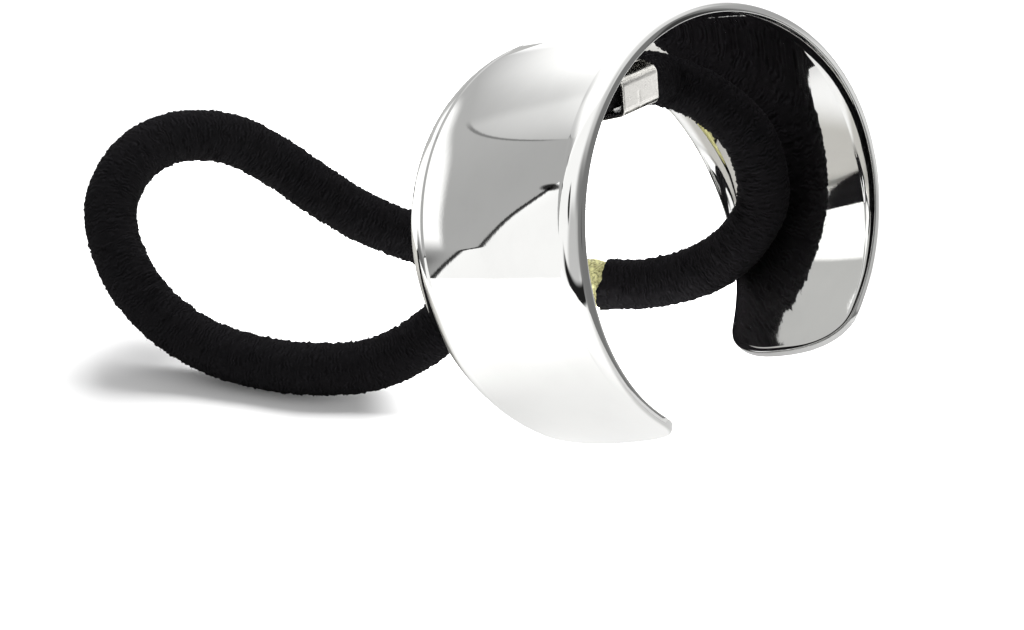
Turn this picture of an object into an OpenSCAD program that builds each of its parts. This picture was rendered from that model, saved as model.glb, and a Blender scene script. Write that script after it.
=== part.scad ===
// Hair tie: a bright sheet-metal cuff with a soldered strap, and the elastic loop that the strap holds.
// The cuff stands on its two ends and leans back onto the elastic, which lies behind it on the surface.
// +X is across the arc of the cuff, -Y is the side that the cuff shows, +Z is up.
// The origin is on the surface, below the middle of the cuff.

/* [Cuff] */
// Outer half width of the arc, from its centre to a side
arc_rx = 25.4; // [25:0.1:26.5]
// Outer height of the crown above the centre of the arc
arc_rz = 23.8; // [23.5:0.1:24.5]
// Angle from the crown to the tip of each end
half_arc = 148; // [140:1:152]
// Thickness of the sheet
sheet_t = 0.9; // [0.8:0.1:1.2]
// Width of the sheet at the crown
crown_w = 28.5; // [26:0.5:31]
// Width of the sheet at the sides
side_w = 25.2; // [23:0.1:27]
// Width of the sheet where the ends begin to round off
end_w = 18; // [16:0.5:21]
// Angle over which each end is rounded off
end_arc = 12; // [10:1:16]
// Width of the border that curls in along both edges
border_w = 2.8; // [2:0.1:3.5]
// Angle that the border curls in by
border_turn = 20; // [10:1:35]
// Angle that the cuff leans back by
lean = 25; // [24:0.5:26]

/* [Strap] */
// Length of the strap along the elastic
strap_len = 5.8; // [4.5:0.1:6.5]
// Thickness of the strap
strap_t = 0.6; // [0.4:0.1:0.7]
// Width of the strap at its front and back bends
strap_w = 10; // [9.6:0.1:11]
// Width of the strap along its lower face
strap_foot_w = 7.4; // [7.2:0.1:8]
// Height of the strap's loop
strap_h = 5; // [4.9:0.1:5.4]
// Distance from the arc's centre to the middle of the strap's loop
strap_r = 16.3; // [16.2:0.1:16.5]
// Width of the two feet that are soldered under the crown
feet_w = 6; // [4:0.5:8]

/* [Elastic] */
// Diameter of the covered elastic
cord_d = 6; // [5:0.1:6]
// Diameter of the glued joint
joint_d = 5.6; // [5:0.1:5.8]
// Height of the elastic where the strap squeezes it
squeezed_h = 3.4; // [3:0.1:3.5]
// Width of the elastic where the strap squeezes it
squeezed_w = 6.6; // [6.5:0.1:7.3]

/* [Hidden] */

// Rows of the cuff's sheet, in the middle and in each rounded end, and facets of a bend
mid_rows = 42;
end_rows = 8;
bend_steps = 5;
// Power of the curve that rounds off the ends, and the angle on it where the tip is blunted
end_power = 2.4;
blunt = 10;
// How much the sheet bulges between its borders, and how narrow the border is at the ends
bulge = 0.25;
border_end = 0.4;
// Angle from the crown where the border starts to narrow, over what angle it does so, and the most
// that it takes of the sheet's half width
border_from = 90;
border_over = 35;
border_share = 0.6;
// How deep the strap's feet sink into the sheet, and the radius of the strap's bends
feet_sink = 0.3;
bend_r = 1;
// How far the strap's front bend lies below its top, and how far its top corners lie inside that bend
bend_low = 1.2;
bend_in = 1.6;
// Sides of the elastic, rings for each stretch of its route, and the clearance at the joint's faces
cord_sides = 12;
rings = 2;
face_gap = 0.02;
// Half length over which the elastic is squeezed flat, and the length in which it swells out again
flat_len = 3.1;
swell_len = 3.5;
// Distance from the strap within which the elastic is squeezed, and the step that finds its heading
squeeze_reach = 12;
heading_step = 0.01;

// Points along the middle of the elastic, from one face of the joint round to its other face
route = [
    [ 12.5,  14.0,  3.1],
    [ 15.5,   9.0,  4.0],
    [ 18.0,   3.5,  7.0],
    [ 19.5,  -0.5, 11.5],
    [ 21.0,  -2.0, 17.0],
    [ 20.5,   0.0, 24.0],
    [ 18.0,   4.5, 28.5],
    [ 14.0,   8.0, 31.0],
    [  8.5,   6.0, 33.5],
    [  3.5,   3.6, 35.1],
    [ -3.5,   3.6, 35.1],
    [ -7.0,   4.5, 33.0],
    [-10.0,   5.5, 28.7],
    [-12.0,   7.5, 23.0],
    [-13.5,  10.0, 17.0],
    [-15.5,  12.5, 11.0],
    [-18.5,  16.5,  6.0],
    [-22.5,  20.5,  3.5],
    [-27.0,  25.5,  3.1],
    [-30.0,  31.5,  3.1],
    [-32.5,  37.5,  4.3],
    [-34.5,  43.0,  7.5],
    [-35.0,  47.5, 12.0],
    [-33.0,  51.5, 17.0],
    [-28.0,  53.0, 21.0],
    [-21.5,  52.5, 22.0],
    [-15.5,  50.0, 20.5],
    [-11.0,  47.0, 17.0],
    [ -7.5,  43.0, 13.0],
    [ -4.0,  38.5,  9.5],
    [  0.0,  34.0,  7.0],
    [  4.0,  28.5,  5.0],
    [  7.0,  24.0,  3.7],
    [ 10.0,  19.5,  3.1]
];

// Half width of the sheet at an angle from the crown, through its three stated widths
end_turn = 1 - cos(half_arc);
side_gain = (side_w - crown_w) / 2;
end_bend = ((end_w - crown_w) / 2 - end_turn * side_gain) / (end_turn * end_turn - end_turn);
function half_w(a) =
    let (t = 1 - cos(a)) crown_w / 2 + (side_gain - end_bend) * t + end_bend * t * t;

// Each row is [angle from the crown, half width]; the rows of an end follow its rounded outline
function end_row(b) =
    let (a = half_arc - end_arc + end_arc * pow(cos(b), 2 / end_power))
    [a, half_w(a) * pow(sin(b), 2 / end_power)];
end_list = [for (i = [1:end_rows]) end_row(90 + (blunt - 90) * i / end_rows)];
mid_a = half_arc - end_arc;
mid_list = [for (i = [0:mid_rows]) let (a = mid_a * (2 * i / mid_rows - 1)) [a, half_w(a)]];
rows = concat(
    [for (i = [end_rows - 1:-1:0]) [-end_list[i][0], end_list[i][1]]], mid_list, end_list);

// Places across a row: two steps each way over the flat middle, then four over the border
flat_steps = 2;
border_steps = 4;
side_steps = flat_steps + border_steps;
function border(a, h) =
    let (t = min(max((abs(a) - border_from) / border_over, 0), 1))
    min(border_w * (1 - (1 - border_end) * t), border_share * h);
function place(k, h, b) =
    k <= flat_steps ? (h - b) * k / flat_steps : h - b + b * (k - flat_steps) / border_steps;

// How far the sheet lies inside the arc's outer line, at a place across a row
function drop(w, h, b) =
    let (c = max(w - h + b, 0)) bulge * pow(2 * w / side_w, 2) + tan(border_turn) / 2 / b * c * c;

function sheet_point(a, h, j, depth) =
    let (b = border(a, h), w = place(abs(j), h, b), d = drop(w, h, b) + depth)
    [(arc_rx - d) * sin(a), -sign(j) * w, (arc_rz - d) * cos(a)];
function sheet_face(depth) =
    [for (r = rows) for (j = [-side_steps:side_steps]) sheet_point(r[0], r[1], j, depth)];
outer_points = sheet_face(0);
inner_points = sheet_face(sheet_t);

// Where the arc's centre lies, so that the cuff rests on the surface with the origin below its middle
function leaned(p) =
    [p[0], p[1] * cos(lean) + p[2] * sin(lean), p[2] * cos(lean) - p[1] * sin(lean)];
cuff_leaned = [for (p = concat(outer_points, inner_points)) leaned(p)];
cuff_y = [for (p = cuff_leaned) p[1]];
cuff_z = [for (p = cuff_leaned) p[2]];
arc_centre = [0, -(min(cuff_y) + max(cuff_y)) / 2, -min(cuff_z)];

// A closed grid of quads: the outer face, the inner face and the four edges between them
module sheet() {
    n = len(rows);
    m = 2 * side_steps + 1;
    low = n * m;
    polyhedron(
        points = concat(outer_points, inner_points),
        faces = concat(
            [for (i = [0:n - 2]) for (j = [0:m - 2])
                [i * m + j, (i + 1) * m + j, (i + 1) * m + j + 1, i * m + j + 1]],
            [for (i = [0:n - 2]) for (j = [0:m - 2])
                [low + i * m + j, low + i * m + j + 1, low + (i + 1) * m + j + 1, low + (i + 1) * m + j]],
            [for (i = [0:n - 2])
                [i * m, low + i * m, low + (i + 1) * m, (i + 1) * m]],
            [for (i = [0:n - 2])
                [(i + 1) * m - 1, (i + 2) * m - 1, low + (i + 2) * m - 1, low + (i + 1) * m - 1]],
            [for (j = [0:m - 2]) [j, j + 1, low + j + 1, low + j]],
            [for (j = [0:m - 2]) let (k = (n - 1) * m + j) [k, low + k, low + k + 1, k + 1]]
        )
    );
}

// A polygon with each of its corners turned into an arc of the given radius
function unit(v) = v / norm(v);
function bend(a, b, c, r) =
    let (
        u = unit(a - b), v = unit(c - b), half = acos(u * v) / 2,
        mid = b + unit(u + v) * r / sin(half), from = b + u * r / tan(half) - mid,
        turn = (180 - 2 * half) * (u[0] * v[1] - u[1] * v[0] < 0 ? 1 : -1)
    )
    [for (i = [0:bend_steps]) let (t = turn * i / bend_steps)
        mid + [from[0] * cos(t) - from[1] * sin(t), from[0] * sin(t) + from[1] * cos(t)]];
function rounded(p, r) =
    let (n = len(p)) [for (i = [0:n - 1]) each bend(p[(i + n - 1) % n], p[i], p[(i + 1) % n], r)];

// The strap is one strip: it goes round the elastic, its two ends meet above it in a neck,
// and they turn out into two feet that are soldered under the crown
module strap() {
    top = strap_h / 2;
    bend_z = top - bend_low;
    crown_z = arc_rz - sheet_t + feet_sink - strap_r;
    loop = [
        [-strap_foot_w / 2, -top], [strap_foot_w / 2, -top], [strap_w / 2, bend_z],
        [strap_w / 2 - bend_in, top], [bend_in - strap_w / 2, top], [-strap_w / 2, bend_z]
    ];
    thin = (strap_h - 2 * strap_t) / strap_h;
    hole = [for (p = loop) [p[0] - sign(p[0]) * strap_t, p[1] * thin]];
    translate([0, 0, strap_r]) rotate([90, 0, 90])
        linear_extrude(strap_len, center = true) {
            difference() {
                polygon(rounded(loop, bend_r));
                polygon(rounded(hole, bend_r - strap_t));
            }
            translate([-strap_t, top - strap_t / 2]) square([2 * strap_t, crown_z - top]);
            translate([-feet_w / 2, crown_z - strap_t - feet_sink])
                square([feet_w, strap_t + feet_sink]);
        }
}

module cuff() {
    color("silver") translate(arc_centre) rotate([-lean, 0, 0]) {
        sheet();
        strap();
    }
}

// A smooth closed curve through the route's points, by a cubic through four neighbours
count = len(route);
function at(i) = route[(i + count) % count];
function curve(i, t) =
    let (a = at(i - 1), b = at(i), c = at(i + 1), d = at(i + 2))
    (2 * b + (c - a) * t + (2 * a - 5 * b + 4 * c - d) * t * t + (3 * b - a - 3 * c + d) * t * t * t) / 2;
function heading(i, t) = unit(curve(i, t + heading_step) - curve(i, t - heading_step));

// Each ring starts from the last one's side direction, so that the tube doesn't twist
function across(side, ahead) = unit(side - (side * ahead) * ahead);
function sides_along(ahead, side, i = 0) =
    i == len(ahead) ? [] :
    let (s = across(side, ahead[i])) concat([s], sides_along(ahead, s, i + 1));

// The strap squeezes the elastic flat along strap_up and lets it swell along strap_out
strap_up = leaned([0, 0, 1]);
strap_out = leaned([0, 1, 0]);
strap_mid = arc_centre + strap_r * strap_up;
function squeeze(p) =
    let (
        near = norm(p - strap_mid) < squeeze_reach,
        t = min(max((abs(p[0]) - flat_len) / swell_len, 0), 1)
    )
    near ? 1 - t * t * (3 - 2 * t) : 0;
function ring(p, ahead, side, d) =
    let (k = squeeze(p), flat = k * (squeezed_h / cord_d - 1), wide = k * (squeezed_w / cord_d - 1))
    [for (j = [0:cord_sides - 1])
        let (f = 360 * (j + 0.5) / cord_sides, v = d / 2 * (cos(f) * side + sin(f) * cross(ahead, side)))
        p + v + flat * (v * strap_up) * strap_up + wide * (v * strap_out) * strap_out];

module tube(places, d) {
    points = [for (q = places) curve(q[0], q[1])];
    ahead = [for (q = places) heading(q[0], q[1])];
    side = sides_along(ahead, [0, 0, 1]);
    n = len(places);
    m = cord_sides;
    polyhedron(
        points = [for (i = [0:n - 1]) each ring(points[i], ahead[i], side[i], d)],
        faces = concat(
            [[for (j = [0:m - 1]) j]],
            [for (i = [0:n - 2]) for (j = [0:m - 1])
                [i * m + j, (i + 1) * m + j, (i + 1) * m + (j + 1) % m, i * m + (j + 1) % m]],
            [[for (j = [m - 1:-1:0]) (n - 1) * m + j]]
        )
    );
}

module elastic() {
    color("black") tube(
        [for (i = [0:rings * (count - 1)]) [floor(i / rings), (i % rings) / rings]], cord_d);
}

module joint() {
    color("khaki") tube([for (t = [face_gap, 0.5, 1 - face_gap]) [count - 1, t]], joint_d);
}

cuff();
elastic();
joint();
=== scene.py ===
"""A hair tie: a bright metal cuff with a soldered strap, and the loop of covered elastic that it holds.

Everything is in metres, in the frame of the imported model: +X across the arc of the cuff, -Y towards the side
that it shows, +Z up, with the surface that it stands on at Z = 0.
"""

import math
from functools import partialmethod

import bmesh
import bpy
from bpy.props import FloatProperty, FloatVectorProperty, IntProperty, PointerProperty
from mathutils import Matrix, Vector


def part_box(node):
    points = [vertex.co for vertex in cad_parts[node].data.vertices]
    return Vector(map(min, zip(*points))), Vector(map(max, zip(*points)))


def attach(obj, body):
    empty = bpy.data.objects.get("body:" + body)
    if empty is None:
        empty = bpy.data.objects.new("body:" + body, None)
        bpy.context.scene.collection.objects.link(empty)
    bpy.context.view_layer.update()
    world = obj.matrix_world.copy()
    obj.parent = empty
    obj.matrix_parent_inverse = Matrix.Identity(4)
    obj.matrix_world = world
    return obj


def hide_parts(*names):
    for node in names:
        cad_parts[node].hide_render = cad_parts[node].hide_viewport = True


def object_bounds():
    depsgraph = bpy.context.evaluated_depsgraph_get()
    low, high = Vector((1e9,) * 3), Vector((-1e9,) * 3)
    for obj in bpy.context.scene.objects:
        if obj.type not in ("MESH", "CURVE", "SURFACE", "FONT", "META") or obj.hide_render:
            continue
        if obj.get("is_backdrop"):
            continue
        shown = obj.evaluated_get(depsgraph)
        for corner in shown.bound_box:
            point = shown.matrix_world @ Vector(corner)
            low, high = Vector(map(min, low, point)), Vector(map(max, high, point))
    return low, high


bl_info = {
    "name": "Hair tie",
    "version": (1, 0, 0),
    "blender": (4, 5, 0),
    "location": "3D View > Sidebar > Hair tie",
    "description": "Builds a hair tie with a metal cuff and a loop of covered elastic",
    "category": "Add Mesh",
}

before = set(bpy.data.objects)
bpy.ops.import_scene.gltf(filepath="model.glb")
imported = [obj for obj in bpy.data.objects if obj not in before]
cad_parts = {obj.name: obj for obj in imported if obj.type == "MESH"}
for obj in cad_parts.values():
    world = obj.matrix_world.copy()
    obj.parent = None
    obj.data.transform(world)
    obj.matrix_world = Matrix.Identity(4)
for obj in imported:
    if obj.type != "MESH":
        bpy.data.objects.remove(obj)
CAD_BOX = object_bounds()

# A millimetre in metres, the body that the pieces ride on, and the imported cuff's box
MM = 0.001
BODY = "root"
CUFF_LOW, CUFF_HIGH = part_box("cuff")

# The camera of the photo: its place in metres, its turn in degrees, its lens and sensor in millimetres, and
# the range of distances that it sees
CAMERA_PLACE = (-0.2253, -0.1892, 0.1623)
CAMERA_TURN = (62.40, 0.0, -47.31)
CAMERA_LENS = 102.24
CAMERA_SENSOR = 36.0
CAMERA_SEES = (0.01, 20)

# The large soft light, and how bright the room is round it
KEY_PLACE = (0.172, 0.183, 0.419)
KEY_SIZE = 0.2
KEY_POWER = 2.6
ROOM_STRENGTH = 0.62

# Pools of light on the surface: where each one lies and its radius, and how much brighter it makes it
POOLS = ((0.02, 0.045, 0.054), (0.002, -0.012, 0.042))
POOL_HEIGHT = 0.5
POOL_BLEND = 0.6
POOL_POWER = 20.0
POOL_GAIN = 1.71

# The surface, and the tones in which the metal mirrors it, which are painted shade: a darker one within a
# circle round a place
SURFACE_HALF = 2.8
MIRRORED_TONE = 0.98
SHADED_PLACE = (-0.005, 0.055)
SHADED_INNER = 0.042
SHADED_OUTER = 0.05
SHADED_TONE = (0.5, 0.49, 0.465)

# The light tent, which only the metal mirrors: its radius, its mesh, and how bright its white is
TENT_RADIUS = 0.1
TENT_SIDES = 192
TENT_WHITE = 1.3

# The card behind the cuff, which glows and which only the metal mirrors, as painted reflection: its corners,
# its depth, its grey, and where its white left part ends
CARD_CORNERS = [(x * MM, z * MM) for x, z in ((-35, 12), (28, 12), (28, 33), (-35, 33))]
CARD_BACK = 45 * MM
CARD_GREY = 0.5
CARD_SPLIT = (-12 * MM, -10 * MM)

# The cuff's mesh: spokes in each quarter of its outline, the share of a quarter where the tip begins, and the
# steps along a spoke over plate, border, outer corner, edge, inner corner, inner border and inner plate
SPOKES = 200
TIP_FROM = 0.84
STEPS = (16, 16, 5, 1, 5, 14, 14)

# The darker rim of the cuff: its tone, and how far from the edge it is full and gone
RIM_TONE = 0.6
RIM_FULL = 0.1 * MM
RIM_GONE = 0.5 * MM

# The strap: the facets of a bend and of its strip's length, its rounded long edges, its front face, and the
# edges of its T-shaped bar, the bar's fillets and how far its feet sink into the crown
BEND_FACETS = 8
STRAP_COLUMNS = 44
STRAP_EDGE = 0.12 * MM
FRONT_LOW = -2.5 * MM
FRONT_HIGH = 1.3 * MM
TEE_EDGE = 0.08 * MM
TEE_FILLET = 0.3 * MM
FEET_SINK = 0.2 * MM

# The elastic's mesh: its sides, the points between two of the route, the step between two rings, the columns
# of its knit, its surface in square metres, its lowest point and the height where its fibres begin. Then its
# ragged hem: length in millimetres, swelling, room round the joint and step between its rings. The cord's
# path has a point for every twelfth ring
TUBE_SIDES = 40
ROUTE_SPLIT = 40
TUBE_STEP = 0.12 * MM
COLUMNS = 32
ELASTIC_AREA = 0.0039
ELASTIC_LOWEST = 0.06 * MM
FIBRES_FROM = 0.9 * MM
HEM = 1.3
HEM_SWELL = 1.02
HEM_ROOM = 0.1 * MM
HEM_STEP = 0.012 * MM
CORD_EVERY = 12

# The joint's mesh: its sides and rings, the share of its length left clear at each end, the width of its two
# end rings and its lowest point
JOINT_SIDES = 64
JOINT_RINGS = 40
JOINT_CLEAR = 0.02
JOINT_END = 0.9
JOINT_LOWEST = 0.3 * MM

# How the strap squeezes the elastic: up and out in the cuff that leans back, and how far along
LEAN = math.radians(25)
LEAN_UP = Vector((0, math.sin(LEAN), math.cos(LEAN)))
LEAN_OUT = Vector((0, math.cos(LEAN), -math.sin(LEAN)))
FLAT_LEN = 3.1 * MM
SWELL_LEN = 3.5 * MM
SQUEEZE_REACH = 12 * MM

# The route of the elastic in millimetres, from one face of the joint round to its other face
ROUTE = [
    (12.5, 14.0, 3.1), (15.5, 9.0, 4.0), (18.0, 3.5, 7.0), (19.5, -0.5, 11.5),
    (21.0, -2.0, 17.0), (20.5, 0.0, 24.0), (18.0, 4.5, 28.5), (14.0, 8.0, 31.0),
    (8.5, 6.0, 33.5), (3.5, 3.6, 35.1), (-3.5, 3.6, 35.1), (-7.0, 4.5, 33.0),
    (-10.0, 5.5, 28.7), (-12.0, 7.5, 23.0), (-13.5, 10.0, 17.0), (-15.5, 12.5, 11.0),
    (-18.5, 16.5, 6.0), (-22.5, 20.5, 3.5), (-27.0, 25.5, 3.1), (-30.0, 31.5, 3.1),
    (-32.5, 37.5, 4.3), (-34.5, 43.0, 7.5), (-35.0, 47.5, 12.0), (-33.0, 51.5, 17.0),
    (-28.0, 53.0, 21.0), (-21.5, 52.5, 22.0), (-15.5, 50.0, 20.5), (-11.0, 47.0, 17.0),
    (-7.5, 43.0, 13.0), (-4.0, 38.5, 9.5), (0.0, 34.0, 7.0), (4.0, 28.5, 5.0),
    (7.0, 24.0, 3.7), (10.0, 19.5, 3.1),
]


def length(text, more, value):
    """A size in millimetres, as a setting in metres."""
    return FloatProperty(name=text, description=more, default=value * MM, precision=5, unit="LENGTH")


def angle(text, more, value):
    """An angle in degrees, as a setting in radians."""
    return FloatProperty(name=text, description=more, default=math.radians(value), subtype="ANGLE")


def share(text, more, value):
    """A plain number as a setting."""
    return FloatProperty(name=text, description=more, default=value)


def tint(text, more, value):
    """A colour as a setting."""
    return FloatVectorProperty(
        name=text, description=more, default=value, size=3, subtype="COLOR", min=0, max=1)


class HAIRTIE_PG_cuff(bpy.types.PropertyGroup):
    """The sizes of the cuff's sheet."""

    arc_rx: length("Arc half width", "Outer half width of the arc", 25.4)
    arc_rz: length("Arc height", "Outer height of the crown above the arc's centre", 23.8)
    half_arc: angle("Half arc", "Angle from the crown to the tip of each end", 148)
    end_arc: angle("End arc", "Angle over which each end is rounded off", 12)
    end_power: share("End power", "Power of the curve that rounds off the ends", 2.4)
    sheet_t: length("Thickness", "Thickness of the sheet", 0.9)
    crown_w: length("Crown width", "Width of the sheet at the crown", 28.5)
    side_w: length("Side width", "Width of the sheet at the sides", 25.2)
    end_w: length("End width", "Width where the ends begin to round off", 18)
    border_w: length("Border", "Width of the border that curls in", 2.8)
    border_turn: angle("Border turn", "Angle that the border curls in by", 20)
    border_dip: share("Border dip", "Slope at which the border rises from the line inside it", 0.12)
    border_end: share("Border at the ends", "Share of the border's width that the ends keep", 0.4)
    border_from: angle("Border narrows from", "Angle from the crown where the border narrows", 90)
    border_over: angle("Border narrows over", "Angle over which it does so", 35)
    border_share: share("Border share", "Most of the sheet's half width that the border takes", 0.6)
    bulge: length("Bulge", "How much the sheet bulges between its borders", 0.25)
    rim_r: length("Edge radius", "Radius of the two corners of the sheet's edge", 0.22)
    lean: angle("Lean", "Angle that the cuff leans back by", 25)
    wave: length("Wave", "Depth of the soft waves that pressing leaves in the sheet", 0.05)
    wave_size: length("Wave size", "Distance over which the sheet waves", 14)


class HAIRTIE_PG_strap(bpy.types.PropertyGroup):
    """The sizes of the strap."""

    strap_len: length("Length", "Length of the strap along the elastic", 5.8)
    strap_t: length("Thickness", "Thickness of the strap", 0.6)
    strap_w: length("Width", "Width of the strap at its front and back bends", 10)
    foot_w: length("Lower width", "Width of the strap along its lower face", 7.4)
    strap_h: length("Height", "Height of the strap's loop", 5)
    strap_r: length("Place", "Distance from the arc's centre to the middle of the loop", 16.3)
    feet_w: length("Feet", "Width of the two feet that are soldered under the crown", 6)
    bend_low: length("Bend drop", "How far the front bend lies below the top", 1.2)
    bend_in: length("Bend inset", "How far the top corners lie inside that bend", 1.6)
    bend_r: length("Bend radius", "Radius of the strap's bends", 1)


class HAIRTIE_PG_elastic(bpy.types.PropertyGroup):
    """The sizes of the covered elastic."""

    cord_d: length("Diameter", "Diameter of the covered elastic", 6)
    joint_d: length("Joint", "Diameter of the glued joint", 5.6)
    squeezed_h: length("Squeezed height", "Height of the elastic in the strap", 3.4)
    squeezed_w: length("Squeezed width", "Width of the elastic in the strap", 6.6)
    rib_pitch: length("Rib pitch", "Distance between the knitted ribs", 0.45)
    rib_depth: length("Rib depth", "Height of a rib", 0.1)
    wrinkle: length("Wrinkles", "Depth of the wrinkles inside a bend", 0.16)
    fibres: IntProperty(name="Fibres", description="Number of loose fibre ends", default=2000, min=0)
    seed: IntProperty(name="Seed", description="Seed of everything random", default=4)


class HAIRTIE_PG_finish(bpy.types.PropertyGroup):
    """The colours of the finishes."""

    bright: tint("Bright metal", "Colour of the cuff", (0.87, 0.87, 0.855))
    nickel: tint("Strap metal", "Colour of the strap", (0.80, 0.785, 0.75))
    knit: tint("Knitted cover", "Colour of the elastic's cover", (0.0062, 0.0060, 0.0069))
    glue: tint("Glue", "Colour of the joint", (0.62, 0.60, 0.28))
    glue_dark: tint("Glue specks", "Colour of the specks in the joint", (0.16, 0.13, 0.05))
    floor: tint("Surface", "Colour of the surface that the hair tie stands on", (0.92, 0.92, 0.92))


class HAIRTIE_PG_settings(bpy.types.PropertyGroup):
    """All the settings of the hair tie."""

    cuff: PointerProperty(type=HAIRTIE_PG_cuff)
    strap: PointerProperty(type=HAIRTIE_PG_strap)
    elastic: PointerProperty(type=HAIRTIE_PG_elastic)
    finish: PointerProperty(type=HAIRTIE_PG_finish)


def put(socket, value):
    """Links a field or another node's socket to a socket, or sets the socket to a plain value."""
    if isinstance(value, Field):
        value = value.socket
    if isinstance(value, bpy.types.NodeSocket):
        socket.id_data.links.new(value, socket)
    else:
        socket.default_value = value


def fill(node, values):
    """Sets or links a node's inputs, which values holds by name or by number."""
    for key, value in values.items():
        put(node.inputs[key], value)


def make(tree, kind, values=(), **options):
    """A new node with its options and its inputs."""
    node = tree.nodes.new(kind)
    for name, value in options.items():
        setattr(node, name, value)
    fill(node, dict(values))
    return node


class Field:
    """A value in a node tree. Sums and products of fields make Math nodes in that tree."""

    def __init__(self, socket):
        self.socket = socket
        self.id_data = socket.id_data

    def math(self, operation, *others):
        """What a Math node makes of this field and the others."""
        values = dict(enumerate((self, *others)))
        return Field(make(self.id_data, "ShaderNodeMath", values, operation=operation).outputs[0])

    __add__ = __radd__ = partialmethod(math, "ADD")
    __sub__ = partialmethod(math, "SUBTRACT")
    __mul__ = __rmul__ = partialmethod(math, "MULTIPLY")
    __truediv__ = partialmethod(math, "DIVIDE")
    __pow__ = partialmethod(math, "POWER")
    __neg__ = partialmethod(math, "MULTIPLY", -1)
    sin = partialmethod(math, "SINE")
    cos = partialmethod(math, "COSINE")
    size = partialmethod(math, "ABSOLUTE")
    sign = partialmethod(math, "SIGN")
    root = partialmethod(math, "SQRT")
    least = partialmethod(math, "MINIMUM")
    most = partialmethod(math, "MAXIMUM")

    def __rsub__(self, other):
        return -self + other

    def unit(self):
        """The value held between 0 and 1."""
        return self.most(0).least(1)

    def fade(self, low, high):
        """1 below low, 0 above high, and a smooth step between them."""
        return 1 - self.smooth(low, high)

    def smooth(self, low, high):
        """0 below low, 1 above high, and a smooth step between them."""
        values = dict(enumerate((self, low, high, 0, 1)))
        node = make(self.id_data, "ShaderNodeMapRange", values, interpolation_type="SMOOTHSTEP")
        return Field(node.outputs[0])


def joined(x, y, z):
    """A vector socket from a field and two more fields or numbers."""
    return make(x.id_data, "ShaderNodeCombineXYZ", {0: x, 1: y, 2: z}).outputs[0]


def parted(vector):
    """The three fields of a vector socket."""
    return [Field(out) for out in make(vector.id_data, "ShaderNodeSeparateXYZ", {0: vector}).outputs]


def vector(operation, first, *others):
    """The vector that a Vector Math node works out from a vector socket and others."""
    values = dict(enumerate((first, *others)))
    return make(first.id_data, "ShaderNodeVectorMath", values, operation=operation).outputs[0]


def measure(operation, first, second):
    """The number that a Vector Math node works out from a vector socket and another vector, as a field."""
    values = {0: first, 1: second}
    return Field(make(first.id_data, "ShaderNodeVectorMath", values, operation=operation).outputs["Value"])


def dot(a, b):
    """The dot product of a vector socket and another vector, as a field."""
    return measure("DOT_PRODUCT", a, b)


def scaled(place, factor):
    """A vector socket or a plain vector times a field."""
    tree = (factor if isinstance(factor, Field) else place).id_data
    return make(tree, "ShaderNodeVectorMath", {0: place, "Scale": factor}, operation="SCALE").outputs[0]


def grain(place, size, detail=2.0, rough=0.5):
    """Noise between 0 and 1 at a place, as a field. size is the size of its grain in metres."""
    values = {"Vector": place, "Scale": size ** -1, "Detail": detail, "Roughness": rough}
    return Field(make(place.id_data, "ShaderNodeTexNoise", values).outputs[0])


def sized_tree(name, sizes):
    """A geometry node group with an input for each size of a settings group, and those inputs as fields."""
    tree = bpy.data.node_groups.new(name, "GeometryNodeTree")
    tree.is_modifier = True
    for way in ("INPUT", "OUTPUT"):
        tree.interface.new_socket("Geometry", in_out=way, socket_type="NodeSocketGeometry")
    for key in sizes.__annotations__:
        whole = sizes.bl_rna.properties[key].type == "INT"
        tree.interface.new_socket(
            key, in_out="INPUT", socket_type="NodeSocketInt" if whole else "NodeSocketFloat")
    source = tree.nodes.new("NodeGroupInput")
    fields = {key: Field(source.outputs[key]) for key in sizes.__annotations__}
    return tree, source.outputs["Geometry"], fields


def end_tree(geometry, material):
    """Ends a tree: smooth and real geometry with its material."""
    tree = geometry.id_data
    smooth = make(tree, "GeometryNodeSetShadeSmooth", {0: geometry})
    real = make(tree, "GeometryNodeRealizeInstances", {0: smooth.outputs[0]})
    dressed = make(tree, "GeometryNodeSetMaterial", {0: real.outputs[0], "Material": material})
    tree.links.new(dressed.outputs[0], tree.nodes.new("NodeGroupOutput").inputs[0])


def grown(name, tree, mesh, sizes):
    """A plain mesh object with what the tree makes of a mesh at the given sizes."""
    seed = placed(name + "_seed", mesh)
    modifier = seed.modifiers.new("Shape", "NODES")
    modifier.node_group = tree
    for item in tree.interface.items_tree:
        if item.in_out == "INPUT" and item.socket_type != "NodeSocketGeometry":
            modifier[item.identifier] = getattr(sizes, item.name)
    bpy.context.view_layer.update()
    shaped = bpy.data.meshes.new_from_object(seed.evaluated_get(bpy.context.evaluated_depsgraph_get()))
    seed.modifiers.clear()
    bpy.data.objects.remove(seed)
    shaped.name = name
    return placed(name, shaped)


def placed(name, data):
    """A new object at the origin: a mesh, a camera or a lamp."""
    piece = bpy.data.objects.new(name, data)
    bpy.context.scene.collection.objects.link(piece)
    return piece


def mesh_of(name, work):
    """A new mesh of what was built in work, which is freed."""
    mesh = bpy.data.meshes.new(name)
    work.to_mesh(mesh)
    work.free()
    return mesh


def closed_up(mesh, gap):
    """Merges what lies closer than gap, turns the faces outwards and shades them smooth."""
    work = bmesh.new()
    work.from_mesh(mesh)
    bmesh.ops.remove_doubles(work, verts=work.verts, dist=gap)
    bmesh.ops.recalc_face_normals(work, faces=work.faces)
    for face in work.faces:
        face.smooth = True
    work.to_mesh(mesh)
    work.free()


def new_material(name):
    """A material with its node tree, its shader and the place on the piece."""
    material = bpy.data.materials.new(name)
    material.use_nodes = True
    tree = material.node_tree
    shader = tree.nodes["Principled BSDF"]
    place = tree.nodes.new("ShaderNodeTexCoord").outputs["Object"]
    return material, tree, shader, place


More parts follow.
